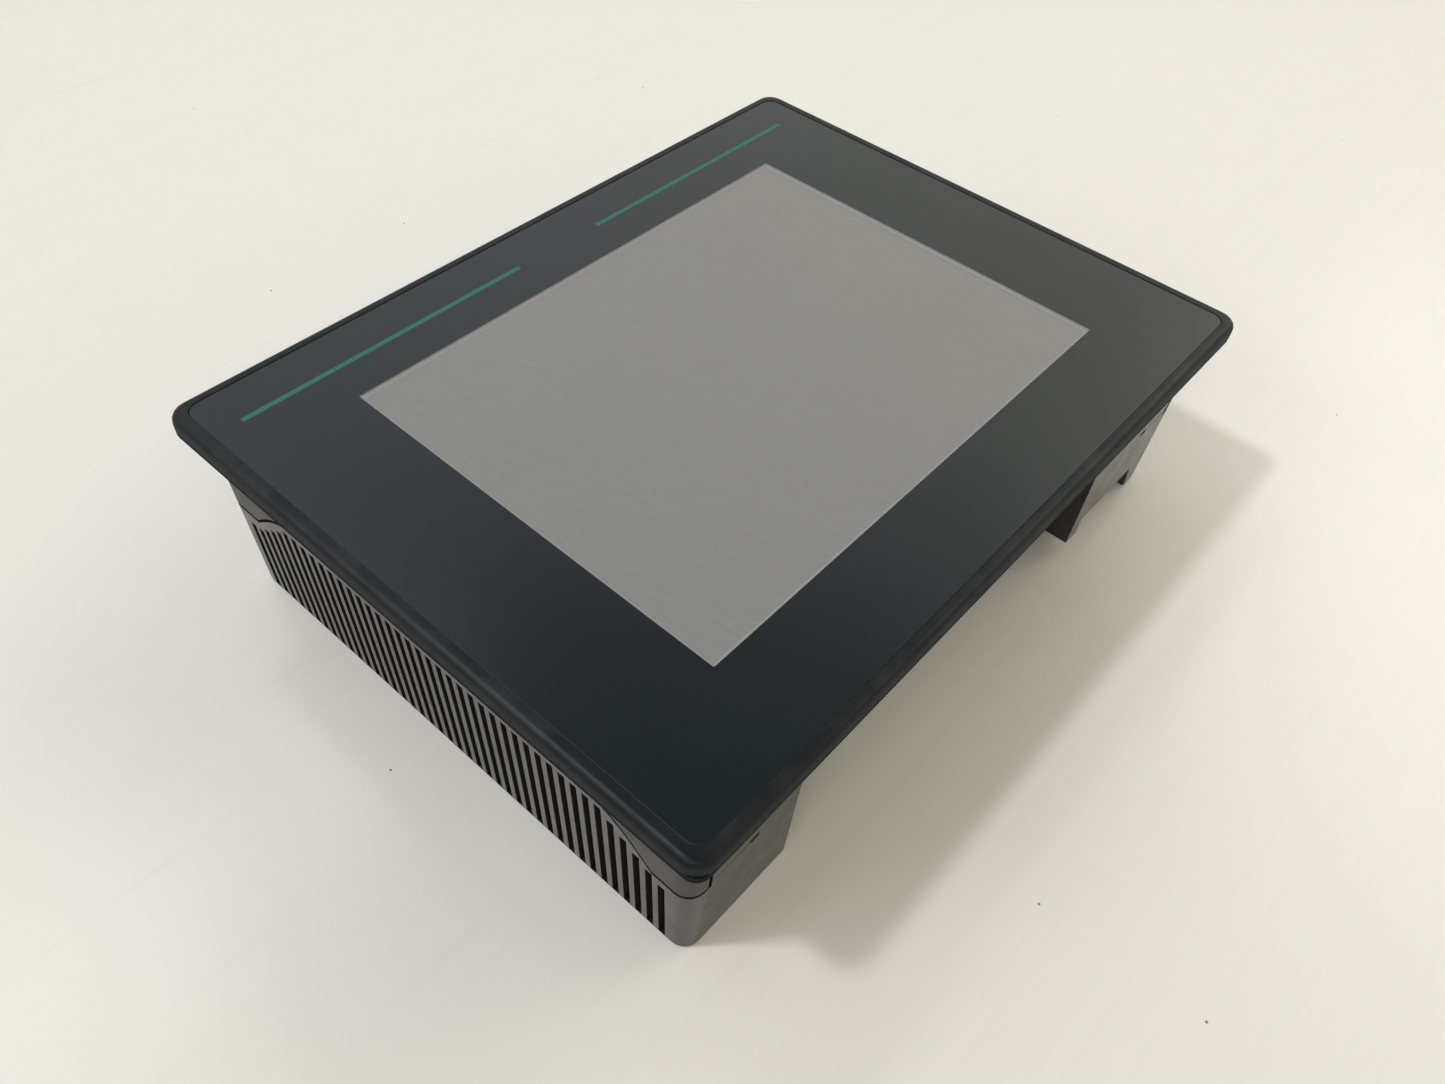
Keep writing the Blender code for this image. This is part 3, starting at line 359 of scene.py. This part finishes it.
def screen_grey():
    """Unlit screen: mid grey with fine slanting streaks, a faint warm drift and a soft rub."""
    made = Nodes("screen_grey")
    streaks = made.noise(1.0, 4.0, 0.65, made.stretched((620.0, 95.0, 1.0), (0.0, 0.0, 0.62)))
    fine = made.noise(1.0, 2.0, 0.5, made.stretched((1500.0, 260.0, 1.0), (0.0, 0.0, 0.55)))
    lines = made.math("ADD", made.math("MULTIPLY", streaks, 0.65), made.math("MULTIPLY", fine, 0.35))
    grey = made.mix(made.remap(lines, 0.35, 0.65, 0.0, 1.0), (0.178, 0.179, 0.184), (0.206, 0.207, 0.211))
    drift = made.remap(made.axis("X"), -0.11, 0.11, 0.0, 1.0)
    made.colour(made.mix(drift, grey, made.mix(0.5, grey, (0.205, 0.201, 0.180))))
    made.rough(made.remap(made.noise(12.0, 1.0), 0.1, 0.9, 0.26, 0.32))
    made.bump(lines, 0.00001)
    return made.material


def light_foam():
    """Light grey foam ring round the screen."""
    made = Nodes("light_foam")
    pores = made.specks(1500.0, 0.4)
    made.colour(made.mix(pores, (0.315, 0.318, 0.318), (0.275, 0.279, 0.280)))
    made.rough(made.remap(made.noise(500.0, 2.0), 0.3, 0.7, 0.8, 0.9))
    made.bump(made.math("SUBTRACT", 1.0, pores), 0.00008)
    return made.material


def gasket_foam():
    """Near-black closed-cell panel seal with fine pores, partly its own colour and partly painted shade
    under the flange.
    """
    made = Nodes("gasket_foam")
    pores = made.specks(1300.0, 0.35)
    clouds = made.noise(70.0, 4.0)
    # The near-black is partly the seal's own colour and partly painted shade under the flange's overhang.
    base = made.mix(clouds, (0.0045, 0.0050, 0.0058), (0.0065, 0.0070, 0.0080))
    made.colour(made.mix(pores, base, (0.010, 0.010, 0.011)))
    made.rough(made.remap(clouds, 0.3, 0.7, 0.72, 0.85))
    made.fixed(specular=0.12)
    made.bump(made.math("SUBTRACT", 1.0, pores), 0.00006)
    return made.material


def circuit_board():
    """Green board with tracks that run along X and Y under the solder resist, and small solder pads."""
    made = Nodes("circuit_board")
    along_x = made.math("FRACT", made.math("MULTIPLY", made.axis("X"), 420.0))
    along_y = made.math("FRACT", made.math("MULTIPLY", made.axis("Y"), 420.0))
    field = made.math("GREATER_THAN", made.noise(45.0, 0.0), 0.5)
    pick = made.add("ShaderNodeMix", data_type="FLOAT")
    made.link(field, pick.inputs["Factor"])
    made.link(along_x, pick.inputs["A"])
    made.link(along_y, pick.inputs["B"])
    track = made.math("LESS_THAN", pick.outputs["Result"], 0.35)
    pads = made.specks(230.0, 0.16)
    base = made.mix(track, (0.012, 0.105, 0.045), (0.022, 0.165, 0.070))
    made.colour(made.mix(pads, base, (0.55, 0.54, 0.50)))
    made.rough(made.remap(made.noise(150.0), 0.3, 0.7, 0.28, 0.40))
    made.bump(made.math("MAXIMUM", track, pads), 0.00003)
    return made.material


def lamp_coating():
    """White phosphor coat of the display's lamps."""
    made = Nodes("lamp_coating")
    made.colour(made.mix(made.noise(90.0), (0.78, 0.78, 0.74), (0.86, 0.86, 0.83)))
    made.rough(made.remap(made.noise(200.0), 0.3, 0.7, 0.15, 0.25))
    return made.material


def flat_cable():
    """Flat grey cable whose separate cores show as ribs across its width, in painted light and shade as well
    as bumps.
    """
    made = Nodes("flat_cable")
    ribs = made.math("SINE", made.math("MULTIPLY", made.axis("X"), 6000.0))
    shade = made.remap(ribs, -1.0, 1.0, 0.0, 1.0)
    # Light and dark stripes across the cores are painted light and shade on the ribs.
    made.colour(made.mix(shade, (0.30, 0.30, 0.31), (0.42, 0.42, 0.43)))
    made.rough(made.remap(made.noise(200.0), 0.3, 0.7, 0.45, 0.6))
    made.bump(shade, 0.0001)
    return made.material


def engraved_plate():
    """Bare aluminium rating plate, brushed along its length."""
    return rolled_metal("engraved_plate", (0.62, 0.63, 0.63), 0.38, (30.0, 1600.0, 1600.0))


def node_materials():
    """Which material each record slot gets."""
    return {
        "bezel_plastic": bezel_plastic(),
        "foil_print": foil_print(),
        "window_clear": window_haze(),
        "light_foam": light_foam(),
        "display_grey": screen_grey(),
        "sheet_steel": rolled_metal("sheet_steel", (0.52, 0.52, 0.51), 0.40),
        "plated_steel": rolled_metal("plated_steel", (0.58, 0.57, 0.55), 0.28, (700.0, 700.0, 60.0)),
        "bright_aluminium": rolled_metal("bright_aluminium", (0.68, 0.69, 0.70), 0.34),
        "white_plastic": moulded_plastic("white_plastic", (0.72, 0.72, 0.70), 0.38, spread=0.03),
        "lamp_glass": lamp_coating(),
        "circuit_board": circuit_board(),
        "chip_black": moulded_plastic("chip_black", (0.018, 0.018, 0.018), 0.48, spread=0.2),
        "connector_green": moulded_plastic("connector_green", (0.020, 0.190, 0.075), 0.42),
        "control_grey": moulded_plastic("control_grey", (0.30, 0.31, 0.31), 0.42, spread=0.05),
        "card_black": moulded_plastic("card_black", (0.024, 0.024, 0.028), 0.36),
        "cable_grey": flat_cable(),
        "gasket_rubber": gasket_foam(),
        "housing_plastic": housing_plastic(),
    }


def soft_shading():
    """A modifier's node group that shades small bends as one smooth surface and keeps real edges sharp."""
    group = bpy.data.node_groups.new("soft_shading", "GeometryNodeTree")
    group.interface.new_socket(name="Geometry", in_out="INPUT", socket_type="NodeSocketGeometry")
    group.interface.new_socket(name="Geometry", in_out="OUTPUT", socket_type="NodeSocketGeometry")
    made = {}
    kinds = {
        "start": "NodeGroupInput",
        "plain": "GeometryNodeRemoveAttribute",
        "weld": "GeometryNodeMergeByDistance",
        "smooth": "GeometryNodeSetShadeSmooth",
        "sharp": "GeometryNodeSetShadeSmooth",
        "end": "NodeGroupOutput",
    }
    last = None
    for name, kind in kinds.items():
        made[name] = group.nodes.new(kind)
        if last:
            group.links.new(last.outputs["Geometry"], made[name].inputs["Geometry"])
        last = made[name]
    made["plain"].inputs["Name"].default_value = "custom_normal"
    made["weld"].inputs["Distance"].default_value = WELD_DISTANCE
    made["sharp"].domain = "EDGE"
    made["sharp"].inputs["Shade Smooth"].default_value = False
    bend = group.nodes.new("GeometryNodeInputMeshEdgeAngle")
    limit = group.nodes.new("FunctionNodeCompare")
    limit.operation = "GREATER_THAN"
    limit.inputs["B"].default_value = math.radians(SHARP_ANGLE)
    group.links.new(bend.outputs["Unsigned Angle"], limit.inputs["A"])
    group.links.new(limit.outputs["Result"], made["sharp"].inputs["Selection"])
    return group


def dress_nodes():
    """Give every CAD node the material of its slot and smooth shading over its small bends."""
    made = node_materials()
    shading = soft_shading()
    for part in frame["record"]["subparts"]:
        shown = nodes[part["node"]]
        shown.data.materials.clear()
        shown.data.materials.append(made[part["material_slot"]])
        shown.modifiers.new("soft_shading", "NODES").node_group = shading
        shown.modifiers.new("flat_faces", "WEIGHTED_NORMAL").keep_sharp = True
    nodes["rating_plate"].data.materials[0] = engraved_plate()
    return made


# --- pieces ---


def rounded_rectangle(half, radius, steps=6):
    """Corner points of a rectangle with round corners, counter-clockwise."""
    points = []
    for quarter, (side_x, side_y) in enumerate(((1, 1), (-1, 1), (-1, -1), (1, -1))):
        for step in range(steps + 1):
            angle = math.pi / 2 * (quarter + step / steps)
            x = side_x * (half[0] - radius) + radius * math.cos(angle)
            y = side_y * (half[1] - radius) + radius * math.sin(angle)
            points.append((x, y))
    return points


def piece(name, bm, material, slot, *replaced):
    """A finished piece on the root body, drawn in millimetres."""
    bmesh.ops.scale(bm, vec=(MM, MM, MM), verts=bm.verts)
    bmesh.ops.recalc_face_normals(bm, faces=bm.faces)
    mesh = bpy.data.meshes.new(name)
    bm.to_mesh(mesh)
    bm.free()
    mesh.materials.append(material)
    made = bpy.data.objects.new(name, mesh)
    bpy.context.scene.collection.objects.link(made)
    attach(made, "root")
    if replaced:
        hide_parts(*replaced)
    return made


def slab(points, low, high, edge=0.0):
    """A flat plate over an outline, with its top edge broken by a small bevel."""
    bm = bmesh.new()
    bottom = [bm.verts.new((x, y, low)) for x, y in points]
    top = [bm.verts.new((x, y, high)) for x, y in points]
    count = len(points)
    for i in range(count):
        j = (i + 1) % count
        bm.faces.new((bottom[i], bottom[j], top[j], top[i]))
    bm.faces.new(reversed(bottom))
    lid = bm.faces.new(top)
    if edge:
        bmesh.ops.bevel(bm, geom=list(lid.edges), offset=edge, segments=2, affect="EDGES")
    return bm


def ring(outer, upper, lower, low, high):
    """A flat frame whose opening narrows from its upper to its lower outline, all of equal point count."""
    bm = bmesh.new()
    loops = []
    for points, z in ((outer, low), (outer, high), (upper, high), (lower, low)):
        loops.append([bm.verts.new((x, y, z)) for x, y in points])
    count = len(outer)
    for first, second in zip(loops, loops[1:] + loops[:1]):
        for i in range(count):
            j = (i + 1) % count
            bm.faces.new((first[i], first[j], second[j], second[i]))
    return bm


def make_window(made):
    """The window as one shallow recess: clear pane, light foam ring and the unlit screen under them."""
    half = [side - PANE_GAP for side in WINDOW_HALF]
    pane = slab(rounded_rectangle(half, 0.3), FOIL_LOW + 0.08, FOIL_HIGH - 0.02, 0.03)
    piece("window_pane", pane, made["window_clear"], "window_clear", "window_film", "touch_glass")
    foam_top = FOIL_LOW - 0.05
    screen_top = FOIL_HIGH - SCREEN_DEPTH
    outer = rounded_rectangle(FOAM_HALF, 0.8)
    upper, lower = (rounded_rectangle([side - reach for side in WINDOW_HALF], 0.4) for reach in FOAM_SHOWN)
    foam = ring(outer, upper, lower, screen_top + 0.05, foam_top)
    piece("screen_gasket", foam, made["light_foam"], "light_foam", "touch_gasket")
    screen = slab(rounded_rectangle(SCREEN_HALF, 0.3), screen_top - SCREEN_THICKNESS, screen_top, 0.1)
    piece("screen_face", screen, made["display_grey"], "display_grey", "lcd_glass")


def make_lines():
    """The two printed lines along the top of the foil."""
    ink = printed_line()
    for side, (start, end) in LINE_SPANS.items():
        centre = (start + end) / 2
        outline = rounded_rectangle(((end - start) / 2, LINE_WIDTH / 2), 0.25, 3)
        outline = [(x + centre, y + LINE_Y) for x, y in outline]
        bm = slab(outline, FOIL_HIGH + 0.005, FOIL_HIGH + 0.03)
        piece("printed_line_" + side, bm, ink, "foil_print")


# --- surroundings ---


def floor_surface():
    """Pale, slightly glossy table top with faint clouds, hairline scratches and specks."""
    made = Nodes("floor_surface")
    clouds = made.math("ADD", made.noise(3.0, 1.0), made.remap(made.noise(45.0, 5.0), 0.2, 0.8, -0.4, 0.4))
    base = made.mix(clouds, (0.826, 0.803, 0.768), (0.846, 0.823, 0.788))
    for angle in (0.9, -0.35):
        scratches = made.noise(1.0, 2.0, 0.5, made.stretched((7.0, 300.0, 1.0), (0.0, 0.0, angle)))
        lines = made.remap(scratches, 0.60, 0.85, 0.0, 0.10)
        base = made.mix(lines, base, (0.50, 0.49, 0.46))
    crumbs = made.specks(36.0, 0.022)
    made.colour(made.mix(crumbs, base, (0.16, 0.15, 0.14)))
    made.rough(made.remap(made.noise(5.0, 1.0), 0.1, 0.9, 0.22, 0.30))
    return made.material


def make_floor():
    """A large plain table top at the height of the panel's feet."""
    bm = bmesh.new()
    bmesh.ops.create_grid(bm, x_segments=24, y_segments=24, size=FLOOR_HALF)
    mesh = bpy.data.meshes.new("floor")
    bm.to_mesh(mesh)
    bm.free()
    mesh.materials.append(floor_surface())
    floor = bpy.data.objects.new("floor", mesh)
    floor.location = (0.0, 0.0, cad_box[0].z - FLOOR_DROP)
    bpy.context.scene.collection.objects.link(floor)


def ramp_between(tree, value, low, high, out_low, out_high):
    """A linear map of a value, clamped at both ends."""
    made = tree.nodes.new("ShaderNodeMapRange")
    tree.links.new(value, made.inputs["Value"])
    settings = (("From Min", low), ("From Max", high), ("To Min", out_low), ("To Max", out_high))
    for key, number in settings:
        made.inputs[key].default_value = number
    return made.outputs["Result"]


def toward(tree, direction, side):
    """How far the world direction points to one side, from -1 to 1."""
    made = tree.nodes.new("ShaderNodeVectorMath")
    made.operation = "DOT_PRODUCT"
    made.inputs[1].default_value = side
    tree.links.new(direction, made.inputs[0])
    return made.outputs["Value"]


def room_world():
    """The room round the table: pale walls under a dark ceiling, brighter to the right, warmer in front."""
    world = bpy.data.worlds.new("room")
    world.use_nodes = True
    tree = world.node_tree
    direction = tree.nodes.new("ShaderNodeTexCoord").outputs["Generated"]
    walls = tree.nodes.new("ShaderNodeValToRGB")
    stops = walls.color_ramp.elements
    while len(stops) < len(WALL_LIGHT):
        stops.new(0.5)
    for stop, (height, light) in zip(stops, WALL_LIGHT):
        stop.position = height
        stop.color = (light, light, light, 1.0)
    tree.links.new(toward(tree, direction, (0.0, 0.0, 1.0)), walls.inputs["Fac"])
    tint = tree.nodes.new("ShaderNodeMix")
    tint.data_type = "RGBA"
    tint.inputs["A"].default_value = (0.94, 0.97, 1.0, 1.0)
    tint.inputs["B"].default_value = (1.0, 0.92, 0.65, 1.0)
    warm = ramp_between(tree, toward(tree, direction, WARM_SIDE), -0.5, 1.0, 0.0, 1.0)
    tree.links.new(warm, tint.inputs["Factor"])
    bright = ramp_between(tree, toward(tree, direction, BRIGHT_SIDE), -1.0, 1.0, 1.0 - SPREAD, 1.0 + SPREAD)
    strength = tree.nodes.new("ShaderNodeMath")
    strength.operation = "MULTIPLY"
    tree.links.new(walls.outputs["Color"], strength.inputs[0])
    tree.links.new(bright, strength.inputs[1])
    background = tree.nodes["Background"]
    tree.links.new(tint.outputs["Result"], background.inputs["Color"])
    tree.links.new(strength.outputs["Value"], background.inputs["Strength"])
    bpy.context.scene.world = world


def soft_light(name, bearing, height, distance, size, energy, colour):
    """A rectangular light at a bearing from +X and a height in degrees, turned to the panel."""
    flat = math.cos(math.radians(height)) * distance
    place = Vector((flat * math.cos(math.radians(bearing)), flat * math.sin(math.radians(bearing)), 0.0))
    place.z = math.sin(math.radians(height)) * distance
    data = bpy.data.lights.new(name, "AREA")
    data.shape = "RECTANGLE"
    data.size, data.size_y = size
    data.energy = energy
    data.color = colour
    light = bpy.data.objects.new(name, data)
    light.location = place
    light.rotation_euler = place.to_track_quat("Z", "Y").to_euler()
    bpy.context.scene.collection.objects.link(light)


def make_light():
    """Window light from the upper left, a second lamp behind, a soft wash from the left, and the room."""
    room_world()
    soft_light("window_high", 142.0, 57.0, 12.0, (1.2, 1.0), 470.0, (0.97, 0.98, 0.98))
    soft_light("window_low", 150.0, 30.0, 12.0, (4.8, 3.2), 175.0, (0.97, 0.98, 0.98))
    soft_light("left_wash", 200.0, 42.0, 6.0, (2.4, 2.0), 52.0, (1.0, 0.98, 0.92))
    soft_light("lamp_behind", 92.0, 58.0, 4.0, (1.6, 0.35), 14.0, (0.97, 0.98, 0.98))
    soft_light("lamp_right", -16.0, 38.0, 3.0, (1.8, 1.2), 13.0, (1.0, 0.98, 0.95))


def make_camera():
    """A close camera over the panel's lower left corner."""
    data = bpy.data.cameras.new("camera")
    data.sensor_width = SENSOR_WIDTH
    data.lens = LENS
    data.clip_start = 0.01
    camera = bpy.data.objects.new("camera", data)
    camera.location = CAMERA_PLACE
    camera.rotation_euler = [math.radians(angle) for angle in CAMERA_TURN]
    bpy.context.scene.collection.objects.link(camera)
    bpy.context.scene.camera = camera


made_materials = dress_nodes()
make_window(made_materials)
make_lines()
make_floor()
make_light()
make_camera()
bpy.context.scene.view_settings.view_transform = "Standard"
